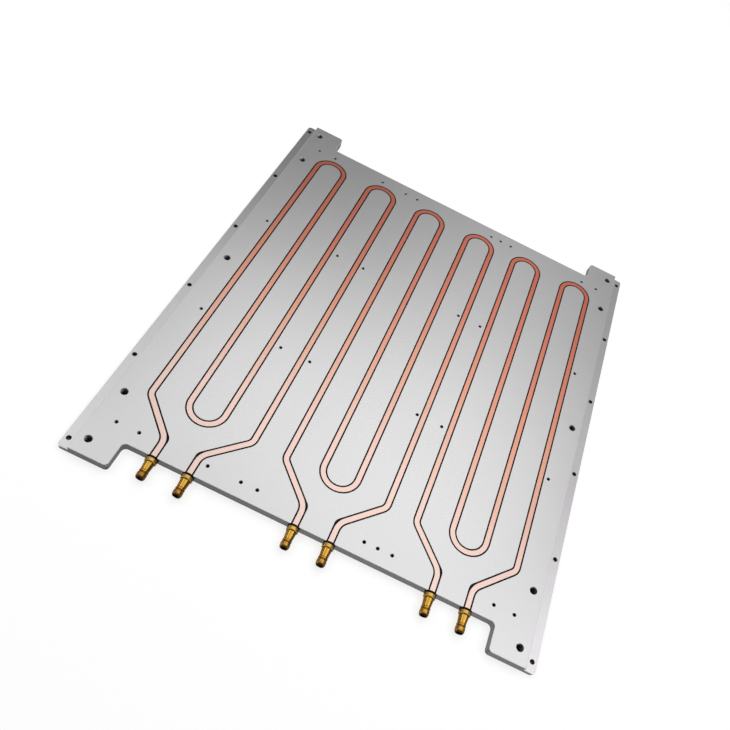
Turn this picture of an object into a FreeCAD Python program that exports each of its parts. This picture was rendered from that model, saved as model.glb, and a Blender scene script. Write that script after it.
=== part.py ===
import FreeCAD, Part
import math
import os
import Sketcher

# Liquid cold plate: one machined aluminium plate with three copper tube circuits
# pressed flush into its top face, bedded in dark epoxy, each ending in two brass
# hose fittings at the front edge.
# Millimetres, +Z up. The origin is the middle of the plate's underside, +X to the
# right and -Y towards the fittings.

doc = FreeCAD.newDocument("liquid_cold_plate")
sheet = doc.addObject("Spreadsheet::Sheet", "dims")

# Driving dimensions
DIMENSIONS = {
    "plate_width": 511,
    "plate_length": 598,
    "plate_thickness": 11,
    "notch_depth": 29,
    "ear_width": 53,
    "ear_corner_radius": 4,
    "notch_corner_radius": 5,
    "ledge_width": 12,
    "ledge_drop": 5.5,
    "edge_break": 0.4,
    "ledge_hole_diameter": 5.3,
    "ledge_hole_edge": 5.5,
    "ledge_hole_end": 11.5,
    "module_hole_diameter": 6.8,
    "module_hole_countersink": 8.4,
    "module_hole_side": 23,
    "module_hole_end": 17,
    "module_hole_inset": 50,
    "device_hole_diameter": 3.3,
    "device_hole_countersink": 4.2,
    "device_row_margin": 16.5,
    "left_margin": 45.6,
    "right_margin": 45.9,
    "left_gap": 37.2,
    "right_gap": 34,
    "back_bend_margin": 28.45,
    "front_bend_margin": 56.25,
    "fitting_run": 23,
    "jog_angle": 45,
    "jog_bend_radius": 11,
    "fitting_bend_radius": 18,
    "tube_width": 8,
    "tube_axis_depth": 4,
    "tube_wall": 1,
    "tube_corner_radius": 1.4,
    "tube_inner_corner_radius": 0.4,
    "tube_flat_setback": 0.5,
    "groove_clearance": 0.35,
    "relief_bend_radius": 5,
    "relief_depth": 4,
    "spot_face_depth": 0.5,
    "spot_face_clearance": 0.2,
    "collar_gap": 1.2,
    "collar_radius": 6.3,
    "collar_length": 4.6,
    "collar_chamfer": 0.7,
    "socket_depth": 5,
    "socket_clearance": 0.05,
    "fitting_length": 23.1,
    "fitting_bore_radius": 3.3,
    "fitting_bore_chamfer": 0.5,
    "neck_root_radius": 5.3,
    "neck_tip_radius": 4.5,
    "ring_start": 14.6,
    "ring_radius": 4.9,
    "ring_width": 1.1,
    "waist_radius": 4.4,
    "barb_start": 17.6,
    "barb_radius": 5,
    "barb_length": 3.6,
    "tip_radius": 4.15,
}

# How far each hole column stands from the edge of a tube's groove. Those with a
# letter are drilled in every device row, those called end only in the first and last
COLUMN_CLEARANCES = {
    "clearance_a": 6.25,
    "clearance_b": 7.15,
    "clearance_c": 4.95,
    "clearance_d": 3.65,
    "clearance_e": 6.65,
    "clearance_f": 5.05,
    "end_clearance_a": 9.75,
    "end_clearance_b": 5.65,
    "end_clearance_c": 2.65,
    "end_clearance_d": 9.25,
}

CELLS = {**DIMENSIONS, **COLUMN_CLEARANCES}
for row, (alias, value) in enumerate(CELLS.items(), start=1):
    sheet.set(f"A{row}", alias)
    sheet.set(f"B{row}", str(value))
    sheet.setAlias(f"B{row}", alias)
doc.recompute()

# Margin by which a cut runs past the face that it opens
OVERCUT = 1.0
# Counts of the ledge holes on each side and of the device rows
LEDGE_HOLES = 6
DEVICE_ROWS = 4
COUNTERSINK_ANGLE = 90
# Straight cuts that make up the round outer side of a relief
RELIEF_CUTS = 6
START, END, CENTER = 1, 2, 3
SKETCH_ORIGIN = -1


def dim(alias):
    """The value of one driving dimension."""
    return float(getattr(sheet, alias))


def expr(text):
    """Write an expression with every alias led by the sheet's name."""
    for alias in sorted(CELLS, key=len, reverse=True):
        text = text.replace(f"[{alias}]", f"dims.{alias}")
    return text


def evaluate(text):
    """The number that an expression in bracketed aliases gives."""
    return float(sheet.evalExpression(expr(text)))


def new_body(label):
    body = doc.addObject("PartDesign::Body", label)
    body.Label = label
    return body


def origin_plane(body, role):
    return [plane for plane in body.Origin.OriginFeatures if plane.Role == role][0]


def new_sketch(body, name, role, offset=("0", "0", "0")):
    """A sketch on one of the body's origin planes, moved by three expressions."""
    sketch = body.newObject("Sketcher::SketchObject", name)
    sketch.AttachmentSupport = (origin_plane(body, role), [""])
    sketch.MapMode = "FlatFace"
    for axis, text in zip("xyz", offset):
        sketch.setExpression(f"AttachmentOffset.Base.{axis}", expr(text))
    return sketch


def on_top(name, body, above="0"):
    """A sketch parallel to the top face, at its height plus an expression."""
    return new_sketch(body, name, "XY_Plane", ("0", "0", f"[plate_thickness] + {above}"))


def bind(sketch, constraint, text):
    """Add a dimensional constraint and tie it to an expression."""
    index = sketch.addConstraint(constraint)
    sketch.setExpression(f"Constraints[{index}]", expr(text))


def pin(sketch, geometry, point, x_text=None, y_text=None):
    """Fix a point's distances from the sketch's origin by expressions."""
    if x_text is not None:
        value = evaluate(x_text)
        bind(sketch, Sketcher.Constraint("DistanceX", geometry, point, value), x_text)
    if y_text is not None:
        value = evaluate(y_text)
        bind(sketch, Sketcher.Constraint("DistanceY", geometry, point, value), y_text)


def vector(x, y):
    return FreeCAD.Vector(x, y, 0)


def line(sketch, start, end):
    return sketch.addGeometry(Part.LineSegment(vector(*start), vector(*end)), False)


def join(sketch, first, second):
    """Close the end of one segment onto the start of the next."""
    sketch.addConstraint(Sketcher.Constraint("Coincident", first, END, second, START))


def polygon(sketch, corners):
    """A closed outline through corners given as pairs of expressions."""
    points = [(evaluate(x), evaluate(y)) for x, y in corners]
    sides = [line(sketch, points[i], points[(i + 1) % len(points)]) for i in range(len(points))]
    for i, side in enumerate(sides):
        join(sketch, side, sides[(i + 1) % len(sides)])
        pin(sketch, side, START, *corners[i])


def rectangle(sketch, left, bottom, right, top):
    polygon(sketch, [(left, bottom), (right, bottom), (right, top), (left, top)])


def circles(sketch, places, diameter):
    """Equal circles whose centres are given as pairs of expressions."""
    radius = evaluate(diameter) / 2
    for x_text, y_text in places:
        center = vector(evaluate(x_text), evaluate(y_text))
        circle = sketch.addGeometry(Part.Circle(center, FreeCAD.Vector(0, 0, 1), radius))
        pin(sketch, circle, CENTER, x_text, y_text)
        bind(sketch, Sketcher.Constraint("Radius", circle, radius), f"({diameter}) / 2")


def check_cut(body, feature, before):
    """A cut that points away from the solid removes nothing."""
    doc.recompute()
    assert body.Shape.Volume < before, f"{feature.Name} cut nothing"


def pad(body, sketch, length, reversed_way=False):
    feature = body.newObject("PartDesign::Pad", f"pad_{sketch.Name}")
    feature.Profile = sketch
    feature.Reversed = reversed_way
    feature.setExpression("Length", expr(length))
    doc.recompute()
    return feature


def pocket(body, sketch, depth):
    before = body.Shape.Volume
    feature = body.newObject("PartDesign::Pocket", f"pocket_{sketch.Name}")
    feature.Profile = sketch
    feature.setExpression("Length", expr(depth))
    check_cut(body, feature, before)
    return feature


def drill(body, sketch, diameter, countersink=None):
    """Through holes at a sketch's circles, with an optional countersunk mouth."""
    doc.recompute()
    before = body.Shape.Volume
    feature = body.newObject("PartDesign::Hole", f"hole_{sketch.Name}")
    feature.Profile = sketch
    doc.recompute()
    feature.DepthType = "ThroughAll"
    feature.Threaded = False
    feature.setExpression("Diameter", expr(diameter))
    if countersink:
        feature.HoleCutType = "Countersink"
        feature.setExpression("HoleCutDiameter", expr(countersink))
        feature.HoleCutCountersinkAngle = COUNTERSINK_ANGLE
    check_cut(body, feature, before)
    return feature


def edge_names(shape, chosen):
    """The names of the edges whose mid point passes a test."""
    names = []
    for number, edge in enumerate(shape.Edges, start=1):
        middle = edge.valueAt((edge.FirstParameter + edge.LastParameter) / 2)
        if chosen(edge, middle):
            names.append(f"Edge{number}")
    return names


def dress(body, kind, name, size_property, size, chosen):
    """A fillet or chamfer on the edges of the body's tip that pass a test."""
    tip = body.Tip
    feature = body.newObject(f"PartDesign::{kind}", name)
    feature.Base = (tip, edge_names(tip.Shape, chosen))
    feature.setExpression(size_property, expr(size))
    doc.recompute()
    return feature


# Section of a pipe

def flat_topped_section(sketch, radius, top, corner=None):
    """A round-bottomed outline about the tube's axis with a flat top, in the
    section's plane: a half circle below, two upright sides and a flat, joined to
    the sides by corner arcs where a corner radius is given."""
    r, height = evaluate(radius), evaluate(top)
    c = evaluate(corner) if corner else 0.0
    up = FreeCAD.Vector(0, 0, 1)
    bottom = sketch.addGeometry(Part.ArcOfCircle(Part.Circle(vector(0, 0), up, r), math.pi, 2 * math.pi))
    right = line(sketch, (r, 0), (r, height - c))
    parts = [bottom, right]
    if corner:
        circle = Part.Circle(vector(r - c, height - c), up, c)
        parts.append(sketch.addGeometry(Part.ArcOfCircle(circle, 0, math.pi / 2)))
    flat = line(sketch, (r - c, height), (c - r, height))
    parts.append(flat)
    if corner:
        circle = Part.Circle(vector(c - r, height - c), up, c)
        parts.append(sketch.addGeometry(Part.ArcOfCircle(circle, math.pi / 2, math.pi)))
    parts.append(line(sketch, (-r, height - c), (-r, 0)))
    for i, part in enumerate(parts):
        after = parts[(i + 1) % len(parts)]
        smooth = corner or bottom in (part, after)
        kind = "Tangent" if smooth else "Coincident"
        sketch.addConstraint(Sketcher.Constraint(kind, part, END, after, START))
    sketch.addConstraint(Sketcher.Constraint("Coincident", bottom, CENTER, SKETCH_ORIGIN, START))
    sketch.addConstraint(Sketcher.Constraint("Vertical", right))
    sketch.addConstraint(Sketcher.Constraint("Horizontal", flat))
    if corner:
        for arc in (parts[2], parts[4]):
            bind(sketch, Sketcher.Constraint("Radius", arc, c), corner)
    else:
        sketch.addConstraint(Sketcher.Constraint("Vertical", parts[-1]))
    bind(sketch, Sketcher.Constraint("Radius", bottom, r), radius)
    pin(sketch, flat, START, y_text=top)


# Places worked out from the driving dimensions, as expressions

TUBE_Z = "[plate_thickness] - [tube_axis_depth]"
# Half the length between the notches, so the front edge lies at minus this
FRONT_Y = "([plate_length] / 2 - [notch_depth])"
# What the margins and the gaps between circuits leave is shared by nine spaces
# between runs, three in each circuit
RUN_SPACES = 9
RUN_PITCH = f"(([plate_width] - [left_margin] - [right_margin] - [left_gap] - [right_gap]) / {RUN_SPACES})"
LEFT_CENTER = f"(-[plate_width] / 2 + [left_margin] + 1.5 * {RUN_PITCH})"
MIDDLE_CENTER = f"({LEFT_CENTER} + 3 * {RUN_PITCH} + [left_gap])"
RIGHT_CENTER = f"({MIDDLE_CENTER} + 3 * {RUN_PITCH} + [right_gap])"
CIRCUITS = {"left": LEFT_CENTER, "middle": MIDDLE_CENTER, "right": RIGHT_CENTER}
SIDES = {"left": "-1", "right": "1"}
GROOVE_RADIUS = "([tube_width] / 2 + [groove_clearance])"
BACK_BEND_Y = f"({FRONT_Y} - [back_bend_margin] - {RUN_PITCH} / 2)"
FRONT_BEND_Y = f"({FRONT_Y} - [front_bend_margin] - {RUN_PITCH} / 2)"
FITTING_BEND_Y = f"({FRONT_Y} - [fitting_run])"
HALF_TURN = "tan([jog_angle] * 1deg / 2)"

# Hole columns, left to right: the circuit and run that each stands beside, with runs
# counted in pitches from the circuit's middle, the side it is on, and its clearance
EVERY_ROW_COLUMNS = [
    ("left", -1.5, -1, "clearance_a"),
    ("left", 0.5, 1, "clearance_b"),
    ("left", 1.5, 1, "clearance_c"),
    ("middle", 1.5, -1, "clearance_d"),
    ("right", -1.5, -1, "clearance_e"),
    ("right", 1.5, 1, "clearance_f"),
]
END_ROW_COLUMNS = [
    ("left", -1.5, 1, "end_clearance_a"),
    ("middle", -1.5, -1, "end_clearance_b"),
    ("middle", 1.5, 1, "end_clearance_c"),
    ("right", 1.5, -1, "end_clearance_d"),
]


# Route of a circuit, seen from above


def circuit_route(sketch, center, end_y):
    """One circuit's centre line: from the left fitting straight in, a jog out to
    the outer run, up, over a half circle at the back, down the inner run, round the
    front half circle, and the mirror of all that to the right fitting."""
    outer_left, inner_left, inner_right, outer_right = (
        f"{center} + {run} * {RUN_PITCH}" for run in (-1.5, -0.5, 0.5, 1.5))
    lower = f"-{FITTING_BEND_Y} - [fitting_bend_radius] * {HALF_TURN}"
    rise = f"{RUN_PITCH} / tan([jog_angle] * 1deg)"
    upper = f"-{FITTING_BEND_Y} + {rise} + [jog_bend_radius] * {HALF_TURN}"
    turn = math.radians(dim("jog_angle"))
    small, large = dim("jog_bend_radius"), dim("fitting_bend_radius")
    bend = evaluate(RUN_PITCH) / 2
    y_low, y_high = evaluate(lower), evaluate(upper)
    x_ol, x_il, x_ir, x_or = (evaluate(t) for t in (outer_left, inner_left, inner_right, outer_right))
    back, front = evaluate(BACK_BEND_Y), -evaluate(FRONT_BEND_Y)
    y_end = evaluate(end_y)
    up = FreeCAD.Vector(0, 0, 1)

    def arc(x, y, radius, first, last):
        return Part.ArcOfCircle(Part.Circle(vector(x, y), up, radius), first, last)

    def away(x, y, radius, angle):
        return (x + radius * math.cos(angle), y + radius * math.sin(angle))

    # Centres of the jog arcs: the lower ones bend outwards, the upper ones back
    ll, ul = (x_il - large, y_low), (x_ol + small, y_high)
    lr, ur = (x_ir + large, y_low), (x_or - small, y_high)
    pieces = [
        Part.LineSegment(vector(x_il, y_end), vector(x_il, y_low)),
        arc(*ll, large, 0, turn),
        Part.LineSegment(vector(*away(*ll, large, turn)), vector(*away(*ul, small, math.pi + turn))),
        arc(*ul, small, math.pi, math.pi + turn),
        Part.LineSegment(vector(x_ol, y_high), vector(x_ol, back)),
        arc(x_ol + bend, back, bend, 0, math.pi),
        Part.LineSegment(vector(x_il, back), vector(x_il, front)),
        arc(x_il + bend, front, bend, math.pi, 2 * math.pi),
        Part.LineSegment(vector(x_ir, front), vector(x_ir, back)),
        arc(x_ir + bend, back, bend, 0, math.pi),
        Part.LineSegment(vector(x_or, back), vector(x_or, y_high)),
        arc(*ur, small, 2 * math.pi - turn, 2 * math.pi),
        Part.LineSegment(vector(*away(*ur, small, -turn)), vector(*away(*lr, large, math.pi - turn))),
        arc(*lr, large, math.pi - turn, math.pi),
        Part.LineSegment(vector(x_ir, y_low), vector(x_ir, y_end)),
    ]
    ids = [sketch.addGeometry(piece, False) for piece in pieces]
    # An arc runs anticlockwise, so its travel along the route is reversed where
    # the route turns clockwise
    clockwise = {3, 5, 9, 11}
    for i, (first, second) in enumerate(zip(ids, ids[1:])):
        leaves = START if i in clockwise else END
        enters = END if i + 1 in clockwise else START
        sketch.addConstraint(Sketcher.Constraint("Tangent", first, leaves, second, enters))
    uprights = {0: inner_left, 4: outer_left, 6: inner_left, 8: inner_right, 10: outer_right, 14: inner_right}
    for index, x_text in uprights.items():
        sketch.addConstraint(Sketcher.Constraint("Vertical", ids[index]))
        pin(sketch, ids[index], START, x_text=x_text)
    for index, radius in {1: "fitting", 3: "jog", 11: "jog", 13: "fitting"}.items():
        value = dim(f"{radius}_bend_radius")
        bind(sketch, Sketcher.Constraint("Radius", ids[index], value), f"[{radius}_bend_radius]")
    for index, y_text in {5: BACK_BEND_Y, 7: f"-{FRONT_BEND_Y}", 9: BACK_BEND_Y}.items():
        pin(sketch, ids[index], CENTER, y_text=y_text)
    pin(sketch, ids[0], START, y_text=end_y)
    pin(sketch, ids[0], END, y_text=lower)
    pin(sketch, ids[4], START, y_text=upper)
    pin(sketch, ids[10], END, y_text=upper)
    pin(sketch, ids[14], START, y_text=lower)
    pin(sketch, ids[14], END, y_text=end_y)


def sweep(body, label, center, end_y, radius, top, corner=None, cut=False):
    """Carry a flat-topped section along a circuit's route."""
    route = new_sketch(body, f"route_{label}", "XY_Plane", ("0", "0", TUBE_Z))
    circuit_route(route, center, end_y)
    start = (f"{center} - 0.5 * {RUN_PITCH}", TUBE_Z, f"-({end_y})")
    section = new_sketch(body, f"section_{label}", "XZ_Plane", start)
    flat_topped_section(section, radius, top, corner)
    doc.recompute()
    before = body.Shape.Volume if cut else 0.0
    kind = "SubtractivePipe" if cut else "AdditivePipe"
    pipe = body.newObject(f"PartDesign::{kind}", f"pipe_{label}")
    pipe.Profile = section
    pipe.Spine = (route, [])
    doc.recompute()
    if cut:
        check_cut(body, pipe, before)
    return pipe


def relief_outline(sketch, center, side):
    """The outer side of the groove at a fitting's bend: the cutter turns it more
    sharply than the tube, about its own centre, which leaves a crescent outside."""
    half = GROOVE_RADIUS
    reach = f"([fitting_bend_radius] * {HALF_TURN})"
    sine, cosine = "sin([jog_angle] * 1deg)", "cos([jog_angle] * 1deg)"
    x_run = f"({center} + {side} * 0.5 * {RUN_PITCH})"
    corner_y = f"-{FITTING_BEND_Y}"
    x_turn = f"({x_run} + {side} * [relief_bend_radius])"
    y_turn = f"({corner_y} - [relief_bend_radius] * {HALF_TURN})"
    outer = f"([relief_bend_radius] + {half})"
    corners = [(x_run, f"{corner_y} - {reach}"), (f"{x_run} - {side} * {half}", f"{corner_y} - {reach}")]
    for cut in range(RELIEF_CUTS + 1):
        angle = f"({cut / RELIEF_CUTS} * [jog_angle] * 1deg)"
        corners.append((f"{x_turn} - {side} * {outer} * cos({angle})", f"{y_turn} + {outer} * sin({angle})"))
    corners += [
        (f"{x_run} + {side} * ({reach} * {sine} - {half} * {cosine})",
         f"{corner_y} + {reach} * {cosine} + {half} * {sine}"),
        (f"{x_run} + {side} * {reach} * {sine}", f"{corner_y} + {reach} * {cosine}"),
    ]
    polygon(sketch, corners)


def fitting_x(center, side):
    return f"{center} + {side} * 0.5 * {RUN_PITCH}"


def column_x(circuit, run, side, clearance):
    """Where a hole column stands beside a run's groove."""
    return f"{CIRCUITS[circuit]} + {run} * {RUN_PITCH} + {side} * ({GROOVE_RADIUS} + [{clearance}])"


def at_front(body, name, behind="0"):
    """A sketch facing the fittings' edge, this far behind it, on the tubes' axis."""
    return new_sketch(body, name, "XZ_Plane", ("0", TUBE_Z, f"{FRONT_Y} - ({behind})"))


# Base plate

def make_base_plate():
    body = new_body("base_plate")
    half_x, half_y = "[plate_width] / 2", "[plate_length] / 2"
    outline = new_sketch(body, "plate_outline", "XY_Plane")
    notch_x, notch_y = f"{half_x} - [ear_width]", FRONT_Y
    polygon(outline, [
        (f"-({half_x})", f"-({half_y})"), (f"-({notch_x})", f"-({half_y})"),
        (f"-({notch_x})", f"-({notch_y})"), (notch_x, f"-({notch_y})"),
        (notch_x, f"-({half_y})"), (half_x, f"-({half_y})"),
        (half_x, half_y), (notch_x, half_y), (notch_x, notch_y),
        (f"-({notch_x})", notch_y), (f"-({notch_x})", half_y), (f"-({half_x})", half_y),
    ])
    pad(body, outline, "[plate_thickness]")

    tolerance = 0.01
    x_out, y_out = evaluate(half_x), evaluate(half_y)
    x_in, y_in = evaluate(notch_x), evaluate(notch_y)

    def upright_at(edge, x, y, middle):
        box = edge.BoundBox
        upright = box.ZLength > max(box.XLength, box.YLength)
        return upright and abs(abs(middle.x) - x) < tolerance and abs(abs(middle.y) - y) < tolerance

    def ear_corner(edge, middle):
        return upright_at(edge, x_out, y_out, middle) or upright_at(edge, x_in, y_out, middle)

    def notch_corner(edge, middle):
        return upright_at(edge, x_in, y_in, middle)

    dress(body, "Fillet", "ear_corners", "Radius", "[ear_corner_radius]", ear_corner)
    dress(body, "Fillet", "notch_corners", "Radius", "[notch_corner_radius]", notch_corner)

    # The long sides are milled down to a clamping ledge
    for side, sign in SIDES.items():
        ledge = on_top(f"ledge_{side}", body)
        step = f"{sign} * ({half_x} - [ledge_width])"
        past = f"{sign} * ({half_x} + {OVERCUT})"
        far = f"{half_y} + {OVERCUT}"
        edges = (step, past) if sign == "1" else (past, step)
        rectangle(ledge, edges[0], f"-({far})", edges[1], far)
        pocket(body, ledge, "[ledge_drop]")

    # Sharp edges round the top face, the ledges and the underside are broken
    top, ledge_z = dim("plate_thickness"), dim("plate_thickness") - dim("ledge_drop")
    step_x = x_out - dim("ledge_width")

    def outer_edge(edge, middle):
        flat = edge.BoundBox.ZLength < tolerance
        on_ledge = abs(middle.z - ledge_z) < tolerance and abs(abs(middle.x) - step_x) > tolerance
        return flat and (abs(middle.z - top) < tolerance or on_ledge or abs(middle.z) < tolerance)

    dress(body, "Chamfer", "edge_breaks", "Size", "[edge_break]", outer_edge)

    for name, center in CIRCUITS.items():
        past_front = f"-({FRONT_Y} + {OVERCUT})"
        sweep(body, f"groove_{name}", center, past_front, GROOVE_RADIUS,
              f"[tube_axis_depth] + {OVERCUT}", cut=True)
        for side, sign in SIDES.items():
            relief = on_top(f"relief_{name}_{side}", body)
            relief_outline(relief, center, sign)
            pocket(body, relief, "[relief_depth]")
            seat = at_front(body, f"spot_face_{name}_{side}", f"-{OVERCUT}")
            circles(seat, [(fitting_x(center, sign), "0")], "2 * ([collar_radius] + [spot_face_clearance])")
            pocket(body, seat, f"[spot_face_depth] + {OVERCUT}")

    ledge_sketch = on_top("ledge_holes", body, "-[ledge_drop]")
    places = []
    for sign in SIDES.values():
        for index in range(LEDGE_HOLES):
            share = 2 * index / (LEDGE_HOLES - 1) - 1
            hole_y = f"{share} * ({half_y} - [ledge_hole_end])"
            places.append((f"{sign} * ({half_x} - [ledge_hole_edge])", hole_y))
    circles(ledge_sketch, places, "[ledge_hole_diameter]")
    drill(body, ledge_sketch, "[ledge_hole_diameter]")

    module_sketch = on_top("module_holes", body)
    outer_row, inner_row = f"({half_y} - [module_hole_end])", f"({FRONT_Y} - [module_hole_inset])"
    rows = (outer_row, inner_row, "0", f"-{inner_row}", f"-{outer_row}")
    places = [(f"{sign} * ({half_x} - [module_hole_side])", y) for sign in SIDES.values() for y in rows]
    circles(module_sketch, places, "[module_hole_diameter]")
    drill(body, module_sketch, "[module_hole_diameter]", "[module_hole_countersink]")

    device_sketch = on_top("device_holes", body)
    places = []
    for index in range(DEVICE_ROWS):
        row_y = f"{2 * index / (DEVICE_ROWS - 1) - 1} * ({FRONT_Y} - [device_row_margin])"
        columns = list(EVERY_ROW_COLUMNS)
        if index in (0, DEVICE_ROWS - 1):
            columns += END_ROW_COLUMNS
        places += [(column_x(*column), row_y) for column in columns]
    circles(device_sketch, places, "[device_hole_diameter]")
    drill(body, device_sketch, "[device_hole_diameter]", "[device_hole_countersink]")
    return body


# Copper tubes

def make_tube(name, center):
    """A drawn tube pressed to a flat top, round again where it enters its fittings."""
    body = new_body(f"cooling_tube_{name}")
    end_y = f"-({FRONT_Y} - [tube_flat_setback])"
    sweep(body, f"tube_outer_{name}", center, end_y, "[tube_width] / 2", "[tube_axis_depth]",
          "[tube_corner_radius]")
    for side, sign in SIDES.items():
        stub = at_front(body, f"stub_{name}_{side}", "[tube_flat_setback]")
        circles(stub, [(fitting_x(center, sign), "0")], "[tube_width]")
        pad(body, stub, "[tube_flat_setback] + [collar_gap] + [socket_depth]")
    sweep(body, f"tube_inner_{name}", center, end_y, "[tube_width] / 2 - [tube_wall]",
          "[tube_axis_depth] - [tube_wall]", "[tube_inner_corner_radius]", cut=True)
    for side, sign in SIDES.items():
        bore = at_front(body, f"stub_bore_{name}_{side}", "-([collar_gap] + [socket_depth])")
        circles(bore, [(fitting_x(center, sign), "0")], "[tube_width] - 2 * [tube_wall]")
        pocket(body, bore, "[tube_flat_setback] + [collar_gap] + [socket_depth]")
    return body


# Epoxy beds

def make_epoxy(name, center):
    """The dark epoxy that fills the groove round the tube, level with the top face,
    and the bead that seals each fitting's collar to the plate's edge."""
    body = new_body(f"groove_epoxy_{name}")
    seat_y = f"-({FRONT_Y} - [spot_face_depth])"
    sweep(body, f"fill_{name}", center, seat_y, GROOVE_RADIUS, "[tube_axis_depth]")
    for side, sign in SIDES.items():
        relief = on_top(f"relief_fill_{name}_{side}", body)
        relief_outline(relief, center, sign)
        pad(body, relief, "[relief_depth]", reversed_way=True)
        bead = at_front(body, f"bead_{name}_{side}", "[spot_face_depth]")
        circles(bead, [(fitting_x(center, sign), "0")], "2 * [collar_radius]")
        pad(body, bead, "[spot_face_depth] + [collar_gap]")
    tube_end = f"-({FRONT_Y} - [tube_flat_setback])"
    sweep(body, f"tube_space_{name}", center, tube_end, "[tube_width] / 2", "[tube_axis_depth]",
          "[tube_corner_radius]", cut=True)
    for side, sign in SIDES.items():
        bore = at_front(body, f"bead_bore_{name}_{side}", "-[collar_gap]")
        circles(bore, [(fitting_x(center, sign), "0")], "[tube_width]")
        pocket(body, bore, "[collar_gap] + [tube_flat_setback]")
    return body


# Brass hose fittings

def make_fitting(label, center, sign):
    """A turned fitting: a collar with a socket for the tube, a tapering neck, a ring
    and a barb, all round one axis along the tube's last run."""
    body = new_body(label)
    x_text = fitting_x(center, sign)
    back_face = (x_text, f"-({FRONT_Y} + [collar_gap])", TUBE_Z)
    profile = new_sketch(body, f"profile_{label}", "XY_Plane", back_face)
    socket = "[tube_width] / 2 + [socket_clearance]"
    ring_end = "[ring_start] + [ring_width]"
    barb_end = "[barb_start] + [barb_length]"
    ramp = "([ring_radius] - [neck_tip_radius])"
    polygon(profile, [
        (socket, "0"),
        ("[collar_radius] - [collar_chamfer]", "0"),
        ("[collar_radius]", "-[collar_chamfer]"),
        ("[collar_radius]", "-([collar_length] - [collar_chamfer])"),
        ("[collar_radius] - [collar_chamfer]", "-[collar_length]"),
        ("[neck_root_radius]", "-[collar_length]"),
        ("[neck_tip_radius]", f"-([ring_start] - {ramp})"),
        ("[ring_radius]", "-[ring_start]"),
        ("[ring_radius]", f"-({ring_end})"),
        ("[waist_radius]", f"-({ring_end} + [ring_radius] - [waist_radius])"),
        ("[waist_radius]", "-([barb_start] - ([barb_radius] - [waist_radius]))"),
        ("[barb_radius]", "-[barb_start]"),
        ("[barb_radius]", f"-({barb_end})"),
        ("[tip_radius]", "-[fitting_length]"),
        ("[fitting_bore_radius] + [fitting_bore_chamfer]", "-[fitting_length]"),
        ("[fitting_bore_radius]", "-([fitting_length] - [fitting_bore_chamfer])"),
        ("[fitting_bore_radius]", "-[socket_depth]"),
        (socket, "-[socket_depth]"),
    ])
    turned = body.newObject("PartDesign::Revolution", f"turned_{label}")
    turned.Profile = profile
    turned.ReferenceAxis = (profile, ["V_Axis"])
    turned.Angle = 360
    doc.recompute()
    return body


pieces = [make_base_plate()]
for circuit_name, circuit_center in CIRCUITS.items():
    pieces.append(make_tube(circuit_name, circuit_center))
    pieces.append(make_epoxy(circuit_name, circuit_center))
    for side_name, side_sign in SIDES.items():
        label = f"hose_fitting_{circuit_name}_{side_name}"
        pieces.append(make_fitting(label, circuit_center, side_sign))
doc.recompute()

for item in doc.Objects:
    assert "Invalid" not in item.State and "Error" not in item.State, f"{item.Name}: {item.State}"

os.makedirs("parts", exist_ok=True)
for piece in pieces:
    shape = piece.Shape
    assert not shape.isNull() and shape.isValid(), f"{piece.Label} has no valid shape"
    assert len(shape.Solids) == 1, f"{piece.Label} has {len(shape.Solids)} solids"
    shape.exportStep(f"parts/{piece.Label}.step")
    box = shape.BoundBox
    print(f"{piece.Label}: {shape.Volume:.0f} mm3, x {box.XMin:.1f} to {box.XMax:.1f}, "
          f"y {box.YMin:.1f} to {box.YMax:.1f}, z {box.ZMin:.1f} to {box.ZMax:.1f}")
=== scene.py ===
# %% [markdown]
# # A liquid cold plate, dressed in Blender
# The object is a machined aluminium plate with three copper tube circuits let into
# its top face. The solids come from CAD and already have their true size and place,
# so this lesson only adds what CAD leaves out: finishes, screw threads, light and a
# camera. Everything is in metres, with the middle of the underside at the origin,
# +Z up and -Y towards the hose fittings.

# %% Load the solids
import math
import bpy
import numpy as np
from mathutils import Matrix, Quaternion, Vector


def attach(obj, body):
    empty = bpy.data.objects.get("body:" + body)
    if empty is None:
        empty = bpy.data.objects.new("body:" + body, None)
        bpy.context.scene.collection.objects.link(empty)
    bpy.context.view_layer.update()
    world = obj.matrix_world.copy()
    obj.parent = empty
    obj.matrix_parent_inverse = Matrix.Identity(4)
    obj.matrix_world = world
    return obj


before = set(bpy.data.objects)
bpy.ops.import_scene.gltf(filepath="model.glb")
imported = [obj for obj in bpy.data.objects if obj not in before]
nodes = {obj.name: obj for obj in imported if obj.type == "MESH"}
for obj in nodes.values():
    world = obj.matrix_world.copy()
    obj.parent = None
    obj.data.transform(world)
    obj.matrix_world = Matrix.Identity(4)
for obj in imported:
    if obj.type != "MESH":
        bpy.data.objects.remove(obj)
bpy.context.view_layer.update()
MM = 0.001
for name, node in sorted(nodes.items()):
    print(name, len(node.data.polygons), [m.name for m in node.data.materials])

# %% [markdown]
# ## Camera
# The plate was photographed from above its front edge with the camera rolled, so
# that the plate runs up the picture from corner to corner. Its place, aim and roll
# were found from the screw holes: fifty-four centres in the picture against the same
# centres in the model. A level aim is built first and rolled about the view axis,
# which is easier to read than three angles.

# %% Camera
EYE = Vector((-16.6, -538.4, 638.8)) * MM
AIM = Vector((2.5, -94.6, 11.0)) * MM
ROLL = math.radians(28.18)
LENS_MM = 33.63
LENS_SHIFT = (-0.0144, 0.0510)

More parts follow.
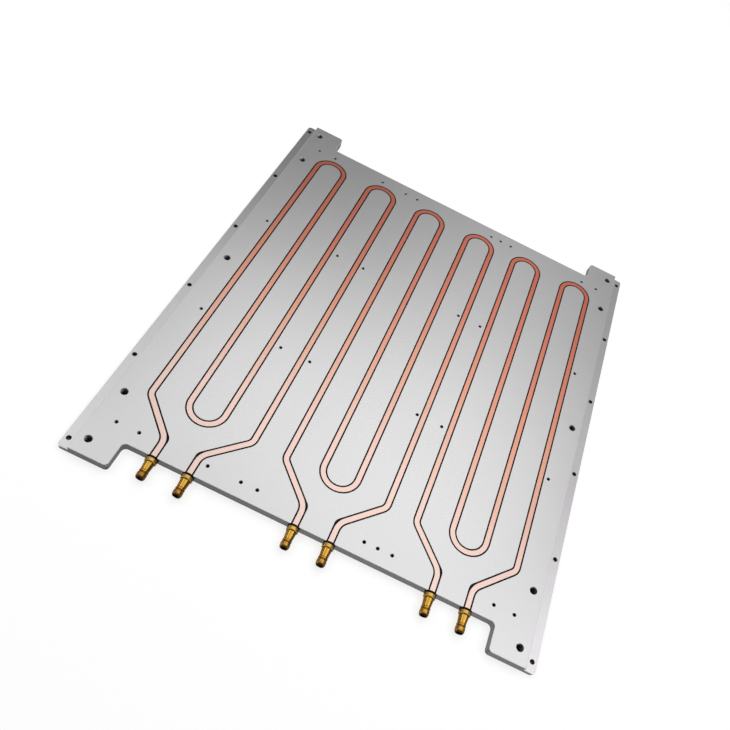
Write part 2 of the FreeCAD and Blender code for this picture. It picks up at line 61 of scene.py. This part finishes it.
lens = bpy.data.cameras.new("photograph_lens")
lens.lens = LENS_MM
lens.shift_x, lens.shift_y = LENS_SHIFT
camera = bpy.data.objects.new("photograph_camera", lens)
bpy.context.scene.collection.objects.link(camera)
camera.location = EYE
camera.rotation_mode = "QUATERNION"
level_aim = (AIM - EYE).to_track_quat("-Z", "Y")
camera.rotation_quaternion = level_aim @ Quaternion((0, 0, 1), ROLL)
bpy.context.scene.camera = camera
bpy.context.scene.view_settings.view_transform = "Standard"
print("camera height", round(EYE.z, 3), "m")

# %% [markdown]
# ## Shader maths as Python
# A material is a graph of nodes. Placing each node by hand hides the idea behind
# wiring, so one small class wraps a socket and gives it Python's operators: a sum of
# two sockets adds a Math node. Colours and vectors go through Mix and Vector Math,
# because a Math node would turn them grey.

# %% Sockets with operators
class Wire:
    """One output of a node, on which Python's operators build Math nodes."""

    def __init__(self, shop, socket):
        self.shop = shop
        self.socket = socket

    def __add__(self, other):
        return self.shop.math("ADD", self, other)

    __radd__ = __add__

    def __sub__(self, other):
        return self.shop.math("SUBTRACT", self, other)

    def __rsub__(self, other):
        return self.shop.math("SUBTRACT", other, self)

    def __mul__(self, other):
        return self.shop.math("MULTIPLY", self, other)

    __rmul__ = __mul__

    def __abs__(self):
        return self.shop.math("ABSOLUTE", self)

    def sibling(self, name):
        """Another output of the node that this one comes from."""
        return Wire(self.shop, self.socket.node.outputs[name])


# %% The plate's outline, for the masks below, in millimetres
HALF_WIDTH, HALF_LENGTH = 255.5, 299.0
NOTCH_EDGE = 270.0
EAR_INNER = 202.5


# %% A workshop for one node tree
class Workshop:
    """Adds nodes to one tree and hands back their outputs as wires."""

    def __init__(self, tree):
        self.tree = tree
        tree.nodes.clear()

    def node(self, kind, settings=None, inputs=None, output=0):
        """Add a node of a type, apply its settings, then feed its sockets. The answer
        is one of its outputs, or nothing for a node that has none."""
        made = self.tree.nodes.new(kind)
        for key, value in (settings or {}).items():
            if key == "stops":
                ramp = made.color_ramp.elements
                while len(ramp) < len(value):
                    ramp.new(0.5)
                for stop, (position, tone) in zip(ramp, value):
                    stop.position = position
                    stop.color = tone
            else:
                setattr(made, key, value)
        for key, value in (inputs or {}).items():
            socket = made.inputs[key]
            if isinstance(value, Wire):
                self.tree.links.new(value.socket, socket)
            else:
                socket.default_value = value
        return Wire(self, made.outputs[output]) if made.outputs else None

    def math(self, operation, *values):
        """A Math node on wires and plain numbers."""
        return self.node("ShaderNodeMath", {"operation": operation}, dict(enumerate(values)))

    def band(self, value, low, high, soft):
        """1 between two limits and 0 outside them, with ramps of a given width."""
        return self.step(value, low, soft) * (1 - self.step(value, high, soft))

    def step(self, value, edge, soft):
        """0 below an edge and 1 above it, over a ramp of a given width."""
        limits = {"Value": value, "From Min": edge - soft / 2, "From Max": edge + soft / 2}
        return self.node("ShaderNodeMapRange", {"clamp": True}, limits)

    def blend(self, factor, first, second):
        """Mix two colours by a factor."""
        settings = {"data_type": "RGBA"}
        return self.node("ShaderNodeMix", settings, {0: factor, 6: first, 7: second}, 2)

    def footprint(self, x, y, inset):
        """1 inside the plate's outline as seen from above, less a margin: the main
        rectangle or one of the four ears."""
        sides = 1 - self.step(abs(x), HALF_WIDTH - inset, 0.5)
        main = sides * (1 - self.step(abs(y), NOTCH_EDGE - inset, 0.5))
        ear = self.band(abs(x), EAR_INNER + inset, HALF_WIDTH - inset, 0.5)
        return self.math("MAXIMUM", main, ear * (1 - self.step(abs(y), HALF_LENGTH - inset, 0.5)))

    def parts(self, vector):
        """The three numbers that make up a vector."""
        first = self.node("ShaderNodeSeparateXYZ", {}, {"Vector": vector})
        return [first.sibling(axis) for axis in "XYZ"]

    def place(self):
        """The point being shaded, in metres, and its three coordinates in millimetres."""
        point = self.node("ShaderNodeTexCoord", {}, {}, "Object")
        return point, self.parts(self.stretch(point, (1000, 1000, 1000)))

    def stretch(self, vector, factors):
        """A vector with each axis multiplied by its own factor."""
        settings = {"operation": "MULTIPLY"}
        return self.node("ShaderNodeVectorMath", settings, {0: vector, 1: factors})

    def noise(self, vector, scale, detail=2.0, roughness=0.5):
        """Soft random values about one half."""
        inputs = {"Vector": vector, "Scale": scale, "Detail": detail, "Roughness": roughness}
        return self.node("ShaderNodeTexNoise", {}, inputs)


def colour(red, green, blue):
    """A colour with full alpha, in linear light."""
    return (red, green, blue, 1.0)


def new_finish(name):
    """A material with an empty tree, and the wires that every finish here reads:
    place in millimetres along each axis, and the three parts of the facing."""
    material = bpy.data.materials.new(name)
    material.use_nodes = True
    shop = Workshop(material.node_tree)
    place, axes = shop.place()
    facing = shop.parts(shop.node("ShaderNodeNewGeometry", {}, {}, "Normal"))
    return material, shop, place, axes, facing


def close_finish(shop, surface, bumps, distance):
    """Join a Principled shader, with a bump height in front of it, to the output."""
    heights = {"Height": bumps, "Distance": distance, "Strength": 1.0}
    relief = shop.node("ShaderNodeBump", {}, heights)
    shader = shop.node("ShaderNodeBsdfPrincipled", {}, {**surface, "Normal": relief})
    shop.node("ShaderNodeOutputMaterial", {}, {"Surface": shader})


# %% [markdown]
# ## Machined aluminium
# The plate is milled from rolled stock. Its raised face has a fine satin grain left
# by sanding after the tubes were pressed in; the clamping ledges and the sides keep
# the marks of the end mill. A metal takes almost all its look from how rough it is,
# so the grain is a stretched noise that drives roughness and a very small bump, and
# the sides are rougher. The facing of a surface tells its zone: up for the faces,
# sideways for the sides and hole walls, and between the two for the broken edges.
# Light and shade are painted into the colour too: painted shade darkens the sides,
# the tapped holes and their countersunk mouths; a painted highlight brightens the
# front edges and the upper hole walls that face +X; and the ledges are painted
# lighter or darker from front to back.

# %% Aluminium finish
LEDGE_STEP = 243.7
LEDGE_HEIGHTS = (5.0, 6.0)
TAPPED_DEPTHS = (0.5, 10.5)
LARGE_HOLE_COLUMN = (227.0, 238.0)


def make_aluminium():
    """Satin top, milled ledges and sides, and tapped holes, on one metal, with painted light and
    shade.
    """
    material, shop, place, (x, y, z), (across, along, upward) = new_finish("plate_aluminium")
    level = shop.step(abs(upward), 0.85, 0.1)
    bevel = shop.band(abs(upward), 0.5, 0.85, 0.1)
    side = 1 - shop.step(abs(upward), 0.5, 0.1)
    ledge = level * shop.step(abs(x), LEDGE_STEP, 0.3) * shop.band(z, *LEDGE_HEIGHTS, 0.2)
    rightward = shop.step(x, 0.0, 1.0)
    backward = shop.step(y, 0.0, 420.0)
    grain = shop.noise(shop.stretch(place, (1.0, 0.02, 1.0)), 2600.0, 3.0, 0.6)
    fine = shop.noise(place, 3500.0, 2.0)
    cloud = shop.noise(place, 14.0, 3.0)
    cutter = shop.noise(shop.stretch(place, (1.0, 1.0, 0.03)), 2200.0, 2.0)
    sweep = shop.noise(shop.stretch(place, (0.02, 1.0, 1.0)), 1500.0, 2.0)
    tone = 0.64 + (cloud - 0.5) * 0.03 + (grain - 0.5) * 0.05 + (fine - 0.5) * 0.04
    # Painted light and shade on the ledges: the right one is painted brighter at the front, the
    # left one darker towards the back.
    fore = 1 - shop.step(y, -150.0, 160.0)
    right_shade = 0.88 + fore * 0.15 + shop.step(y, 180.0, 120.0) * 0.02
    ledge_shade = rightward * right_shade + (1 - rightward) * (1.02 - backward * 0.26)
    hole = shop.footprint(x, y, 1.0) * (1 - shop.step(abs(x), LEDGE_STEP - 0.7, 0.2))
    tapped_large = shop.band(abs(x), *LARGE_HOLE_COLUMN, 0.5)
    inside = hole * shop.band(z, *TAPPED_DEPTHS, 0.3)
    # Painted shade and highlight: the tapped holes are painted nearly black, a little lighter in
    # the large holes, with a painted highlight on the upper walls that face +X.
    lit_wall = shop.step(across, 0.35, 0.5) * shop.step(z, 7.5, 3.0)
    hole_shade = 0.03 + tapped_large * 0.12 + lit_wall * 0.85
    # Painted shade: the sides are painted darker, and lighter towards the right.
    side_shade = 0.20 + shop.step(x, -80.0, 260.0) * 0.10
    # Painted highlight: the front-facing broken edges are painted brighter.
    front_edge_highlight = bevel * (1 - shop.step(along, -0.4, 0.2))
    # Painted shade: the countersunk mouths are painted darker, less where they face +X.
    mouth_painted_shade = bevel * hole * (0.75 - shop.step(across, 0.25, 0.3) * 0.65)
    outside = (1 - side * (1 - side_shade) + front_edge_highlight * 0.3 - mouth_painted_shade
               + ledge * (ledge_shade - 1 + (sweep - 0.5) * 0.12))
    shade = outside * (1 - inside) + hole_shade * inside
    warm = 1 + ledge * rightward * 0.02
    tint = shop.node("ShaderNodeCombineColor", {}, {
        "Red": tone * shade * warm, "Green": tone * shade * 0.99, "Blue": tone * shade * warm})
    roughness = (0.38 + (grain - 0.5) * 0.10 + side * 0.15 - bevel * 0.1
                 + (cutter - 0.5) * side * 0.2)
    bumps = grain * level * 0.6 + cutter * side
    close_finish(shop, {
        "Base Color": tint, "Metallic": 1.0, "Roughness": roughness}, bumps, 0.00002)
    return material


# %% [markdown]
# ## Copper
# The tubes were pressed into their grooves and skimmed flush with the plate, so
# their flat tops are bare copper, pale near the fittings and a deeper terracotta
# towards the back. The terracotta is partly copper that has tarnished, and the pale
# front is partly a painted sheen. One ramp along the plate gives that change, and a
# noise keeps it from being even.

# %% Copper finish
def make_copper():
    """Copper that is pale near the fittings, partly a painted sheen, and more tarnished towards
    the back.
    """
    material, shop, place, (x, y, _), _ = new_finish("tube_copper")
    drift = shop.noise(place, 9.0, 3.0)
    late = shop.step(x, 115.0, 110.0) * shop.step(y, -200.0, 80.0) * 55
    # Painted sheen and tarnish: pale at the front, terracotta at the back.
    tarnish_and_sheen = shop.node("ShaderNodeMapRange", {"clamp": True}, {
        "Value": y + (drift - 0.5) * 50 + late, "From Min": -270.0, "From Max": 250.0})
    tone = shop.node("ShaderNodeValToRGB", {"stops": [
        (0.00, colour(0.80, 0.62, 0.56)), (0.19, colour(0.80, 0.59, 0.52)),
        (0.34, colour(0.76, 0.48, 0.39)), (0.52, colour(0.79, 0.38, 0.27)),
        (0.71, colour(0.80, 0.29, 0.20)), (1.00, colour(0.80, 0.225, 0.150))]}, {"Fac": tarnish_and_sheen})
    grain = shop.noise(shop.stretch(place, (1.0, 0.02, 1.0)), 2400.0, 3.0, 0.6)
    speck = shop.noise(place, 900.0, 3.0)
    darker = shop.blend((speck - 0.35) * 0.25, tone, colour(0.42, 0.13, 0.07))
    roughness = 0.36 + (grain - 0.5) * 0.14
    close_finish(shop, {
        "Base Color": darker, "Metallic": 0.9, "Roughness": roughness}, grain, 0.00002)
    return material


# %% [markdown]
# ## Epoxy
# The thin dark lines beside every tube are epoxy that fills the groove and carries
# heat into the plate. It is skimmed with the copper, so it cures almost matt and a
# little uneven, and it squeezes out as a black bead between each fitting and the
# plate's edge. It shines less than most plastics, so its specular level is low.

# %% Epoxy finish
def make_epoxy():
    """Near-black resin, a little browner at the back."""
    material, shop, place, (_, y, _), _ = new_finish("groove_epoxy")
    blot = shop.noise(place, 260.0, 3.0)
    back = shop.step(y, 215.0, 60.0)
    tint = shop.blend(blot * (1 + back), colour(0.003, 0.002, 0.002), colour(0.024, 0.012, 0.007))
    close_finish(shop, {
        "Base Color": tint, "Metallic": 0.0, "Specular IOR Level": 0.12,
        "Roughness": 0.40 + blot * 0.2}, blot, 0.00012)
    return material


# %% [markdown]
# ## Brass
# The hose fittings are turned brass. The collar is dull and slightly green, the neck
# is bright gold with painted highlight streaks along its length, and the barbs are
# tarnished brown on the two left-hand fittings. The end faces and mouths are painted
# near-black as painted shade. Bands along Y place the zones, because every fitting
# points the same way. The flanks are painted dark brown as painted shade, less on the
# collar, and the turned corners carry dark lines of painted shade.

# %% Brass finish
COLLAR_FRONT = -275.7
BARB_BACK = -287.2
MOUTH_RIM = -293.6
COLLAR_CORNER, RING_CORNER, BARB_CORNER = (-276.5, -275.5), (-285.5, -284.6), (-288.9, -287.2)


def make_brass():
    """Turned brass in zones along Y: collar, neck, barb, and mouths painted black as painted
    shade.
    """
    material, shop, place, (x, y, _), (across, along, _) = new_finish("fitting_brass")
    collar = shop.step(y, COLLAR_FRONT, 0.3)
    barb = 1 - shop.step(y, BARB_BACK, 2.0)
    # Painted shade: dark lines at the turned corners of the collar, ring and barb.
    corners = (shop.band(y, *COLLAR_CORNER, 0.4) + shop.band(y, *RING_CORNER, 0.5) * 0.7
               + shop.band(y, *BARB_CORNER, 0.6) * 0.8)
    # Painted shade: the flanks are painted dark brown, less on the collar.
    flank_painted_shade = shop.math("MAXIMUM", shop.step(across, 0.50, 0.4), shop.step(0 - across, 0.80, 0.4))
    # Painted shade: the end faces and the mouths are painted near-black.
    end_painted_shade = shop.math("MAXIMUM", 1 - shop.step(along, -0.65, 0.2), 1 - shop.step(y, MOUTH_RIM, 0.8))
    # Painted highlight: lengthwise streaks between two golds stand for the reflection streaks on
    # the necks; they also drive the bump.
    streak_highlight = shop.noise(shop.stretch(place, (1.0, 0.03, 1.0)), 900.0, 2.0)
    blot = shop.noise(place, 420.0, 4.0, 0.6)
    leftness = 1 - shop.step(x, -60.0, 200.0)
    gold = shop.blend(streak_highlight, colour(0.46, 0.24, 0.026), colour(0.68, 0.40, 0.070))
    dull = shop.blend(collar, gold, colour(0.60, 0.39, 0.10))
    reach = shop.step(blot + barb * 0.10 + leftness * barb * 0.22, 0.70, 0.3) * (0.2 + 0.8 * barb)
    aged = shop.blend(reach, dull, colour(0.40, 0.17, 0.035))
    shaded = shop.blend(flank_painted_shade * (0.92 - collar * 0.25), aged, colour(0.085, 0.050, 0.008))
    lined = shop.blend(corners, shaded, colour(0.20, 0.07, 0.012))
    tipped = shop.blend(end_painted_shade * (1 - collar), lined, colour(0.012, 0.007, 0.004))
    close_finish(shop, {
        "Base Color": tipped, "Metallic": 1.0,
        "Roughness": 0.20 + blot * 0.10 + collar * 0.08 + reach * 0.15}, streak_highlight, 0.00004)
    return material


# %% Give each solid its finish
finishes = {
    "plate_aluminium": make_aluminium(),
    "tube_copper": make_copper(),
    "groove_epoxy": make_epoxy(),
    "fitting_brass": make_brass(),
}
NODE_FINISH = {
    "base": "plate_aluminium",
    "cooling": "tube_copper",
    "groove": "groove_epoxy",
    "hose": "fitting_brass",
}
for name, node in nodes.items():
    finish = finishes[NODE_FINISH[name.split("_")[0]]]
    for index in range(len(node.data.materials)):
        node.data.materials[index] = finish
print("finishes", sorted(finishes))

# %% [markdown]
# ## Screw threads
# The ten large holes and the thirty-two small ones are tapped. The CAD holes are
# plain, at the size of the tap drill, so each thread is a ridge wound up the wall: a
# small four-sided section carried round a helix. It stands a little inside the wall,
# where a modelled groove would need the wall itself cut.

# %% A mesh from a grid of points
def tube_faces(rows, columns, start):
    """Quads over a grid whose columns wrap round, wound so that they face outwards,
    with the first point's index."""
    r, c = np.meshgrid(np.arange(rows - 1), np.arange(columns), indexing="ij")
    after = (c + 1) % columns
    quads = np.stack([r * columns + c, r * columns + after,
                      (r + 1) * columns + after, (r + 1) * columns + c], axis=-1)
    return quads.reshape(-1, 4) + start


def new_piece(name, points, faces, finish):
    """A mesh object at the origin from arrays of points and faces."""
    mesh = bpy.data.meshes.new(name)
    mesh.from_pydata(points.tolist(), [], [list(face) for face in faces])
    mesh.materials.append(finishes[finish])
    mesh.shade_smooth()
    mesh.update()
    piece = bpy.data.objects.new(name, mesh)
    bpy.context.scene.collection.objects.link(piece)
    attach(piece, "root")
    print(name, len(points), "points", len(faces), "faces")
    return piece


# %% Thread ridges
def thread_points(centre, wall, crest, pitch, low, high, sides):
    """A helix: angle t runs over 2 pi per turn and the height rises one pitch per
    turn. At each t the section's corners stand at (radius, height) about it."""
    turns = (high - low) / pitch
    steps = int(turns * sides)
    t = np.linspace(0, 2 * np.pi * turns, steps)[:, None]
    fade = np.clip(np.minimum(t, t[-1] - t) / np.pi, 0.02, 1.0)
    radius = np.array([wall, crest, crest, wall])[None, :]
    rise = np.array([-0.45, -0.07, 0.07, 0.45])[None, :] * pitch
    reach = wall + (radius - wall) * fade
    height = low + t / (2 * np.pi) * pitch + rise * fade
    return np.stack([centre[0] + reach * np.cos(t), centre[1] + reach * np.sin(t),
                     np.broadcast_to(height, reach.shape)], axis=-1)


def thread_set(name, centres, **sizes):
    """One mesh with a ridge in each of a set of equal holes."""
    points, faces, count = [], [], 0
    for centre in centres:
        grid = thread_points(centre, **sizes)
        rows, columns = grid.shape[:2]
        points.append(grid.reshape(-1, 3))
        faces.extend(tube_faces(rows, columns, count).tolist())
        first, last = count, count + (rows - 1) * columns
        faces.append([first + 3, first + 2, first + 1, first])
        faces.append([last, last + 1, last + 2, last + 3])
        count += rows * columns
    return new_piece(name, np.concatenate(points) * MM, faces, "plate_aluminium")


LARGE_THREAD = {"wall": 3.45, "crest": 3.05, "pitch": 1.25, "low": 0.8, "high": 10.3, "sides": 28}
SMALL_THREAD = {"wall": 1.68, "crest": 1.45, "pitch": 0.7, "low": 0.5, "high": 10.5, "sides": 14}

MODULE_HOLES = [(x, y) for x in (-232.5, 232.5) for y in (-282, -220, 0, 220, 282)]
thread_set("module_hole_threads", MODULE_HOLES, **LARGE_THREAD)

# Where the small holes stand along X: those of every row, and those of the end rows
EVERY_ROW = (-220.5, -121.0, -84.5, 51.5, 82.5, 219.0)
END_ROWS = (-195.8, -66.6, 66.5, 196.0)
DEVICE_HOLES = [(x, y) for y in (-253.5, -84.5, 84.5, 253.5) for x in EVERY_ROW]
DEVICE_HOLES += [(x, y) for y in (-253.5, 253.5) for x in END_ROWS]
thread_set("device_hole_threads", DEVICE_HOLES, **SMALL_THREAD)

# %% [markdown]
# ## Floor and light
# The photograph has a plain white ground. A sheet of paper that curves up into a wall
# all round gives that in every view, and it still takes the plate's soft shadow: it is
# a matt grey that also glows for the rays that see it directly or in a reflection. The
# wall's upper part glows for the camera alone, or the plate would mirror a bright wall.
# The paper under the plate doesn't glow, so the holes look dark, as they do there.

# %% Paper sweep
FLOOR_DROP = 0.0002
BRIGHT_WALL_MM = 1050.0


def make_sweep(flat=2.6, bend=0.9, rise=1.6, sides=96, centre=0.001, inner=0.6):
    """A surface of revolution: the radius grows along the floor, then height and
    radius follow a quarter circle, then only the height grows."""
    quarter = np.linspace(0, np.pi / 2, 14)
    radius = np.concatenate([[centre, inner], flat + bend * np.sin(quarter), [flat + bend]])
    height = np.concatenate([[0, 0], bend * (1 - np.cos(quarter)), [bend + rise]])
    angle = np.linspace(0, 2 * np.pi, sides, endpoint=False)
    points = np.stack([radius[:, None] * np.cos(angle), radius[:, None] * np.sin(angle),
                       np.broadcast_to(height[:, None], (len(radius), sides))], axis=-1)
    faces = tube_faces(len(radius), sides, 0)[:, ::-1]
    return points.reshape(-1, 3) - (0, 0, FLOOR_DROP), faces


def make_paper():
    """Matt grey paper with a glow for the rays that see it."""
    material = bpy.data.materials.new("paper_sweep")
    material.use_nodes = True
    shop = Workshop(material.node_tree)
    _, (x, y, z) = shop.place()
    under = shop.footprint(x, y, 1.5)
    upper = shop.step(z, BRIGHT_WALL_MM, 100.0)
    camera_ray = shop.node("ShaderNodeLightPath", {}, {}, "Is Camera Ray")
    glossy_ray = camera_ray.sibling("Is Glossy Ray")
    clear_ray = camera_ray.sibling("Is Transmission Ray")
    mirrored = shop.math("MAXIMUM", glossy_ray, clear_ray) * (1 - upper)
    seen = shop.math("MAXIMUM", camera_ray, mirrored)
    matte = shop.node("ShaderNodeBsdfDiffuse", {}, {"Color": colour(0.45, 0.45, 0.45)})
    glow = shop.node("ShaderNodeEmission", {}, {"Strength": 0.74})
    glowing = shop.node("ShaderNodeAddShader", {}, {0: matte, 1: glow})
    paper = shop.node("ShaderNodeMixShader", {}, {0: seen * (1 - under), 1: matte, 2: glowing})
    shop.node("ShaderNodeOutputMaterial", {}, {"Surface": paper})
    return material


sweep_points, sweep_faces = make_sweep()
sweep_mesh = bpy.data.meshes.new("paper_sweep")
sweep_mesh.from_pydata(sweep_points.tolist(), [], sweep_faces.tolist())
sweep_mesh.materials.append(make_paper())
sweep_mesh.shade_smooth()
paper = bpy.data.objects.new("paper_sweep", sweep_mesh)
bpy.context.scene.collection.objects.link(paper)
print("paper", [round(v, 2) for v in paper.dimensions])

# %% [markdown]
# ## Sky and lamps
# A metal shows what is above it. The plate is bright at the fittings and grey at the
# back, and the necks of the fittings carry bright streaks: that is a dim room with a
# bright soft panel on either side, two weaker ones between them and two further back.
# Their levels came from lighting the plate with one square of a ceiling at a time and
# finding the sum closest to the photograph.

# %% Sky
world = bpy.data.worlds.new("studio_sky")
bpy.context.scene.world = world
world.use_nodes = True
sky = Workshop(world.node_tree)
backdrop = sky.node("ShaderNodeBackground", {}, {"Color": colour(1, 1, 1), "Strength": 0.20})
sky.node("ShaderNodeOutputWorld", {}, {"Surface": backdrop})

# %% Lamps
def soft_panel(name, x, y, width, depth, radiance, height=1.7):
    """A rectangular lamp that faces straight down. Its power is its radiance times
    pi times its area."""
    lamp = bpy.data.lights.new(name, "AREA")
    lamp.shape = "RECTANGLE"
    lamp.size, lamp.size_y = width, depth
    lamp.energy = radiance * math.pi * width * depth
    panel = bpy.data.objects.new(name, lamp)
    bpy.context.scene.collection.objects.link(panel)
    panel.location = (x, y, height)
    print(name, round(lamp.energy, 1), "W")


soft_panel("left_panel", -1.5, 0.0, 1.0, 1.0, 2.2)
soft_panel("right_panel", 1.5, 0.0, 1.0, 1.0, 2.35)
soft_panel("front_left_panel", -0.5, 0.0, 1.0, 1.0, 0.7)
soft_panel("front_right_panel", 0.5, 0.0, 1.0, 1.0, 1.15)
soft_panel("middle_panel", 0.05, 1.0, 2.0, 1.0, 1.38)
soft_panel("back_panel", 0.4, 2.1, 1.0, 1.2, 0.55)
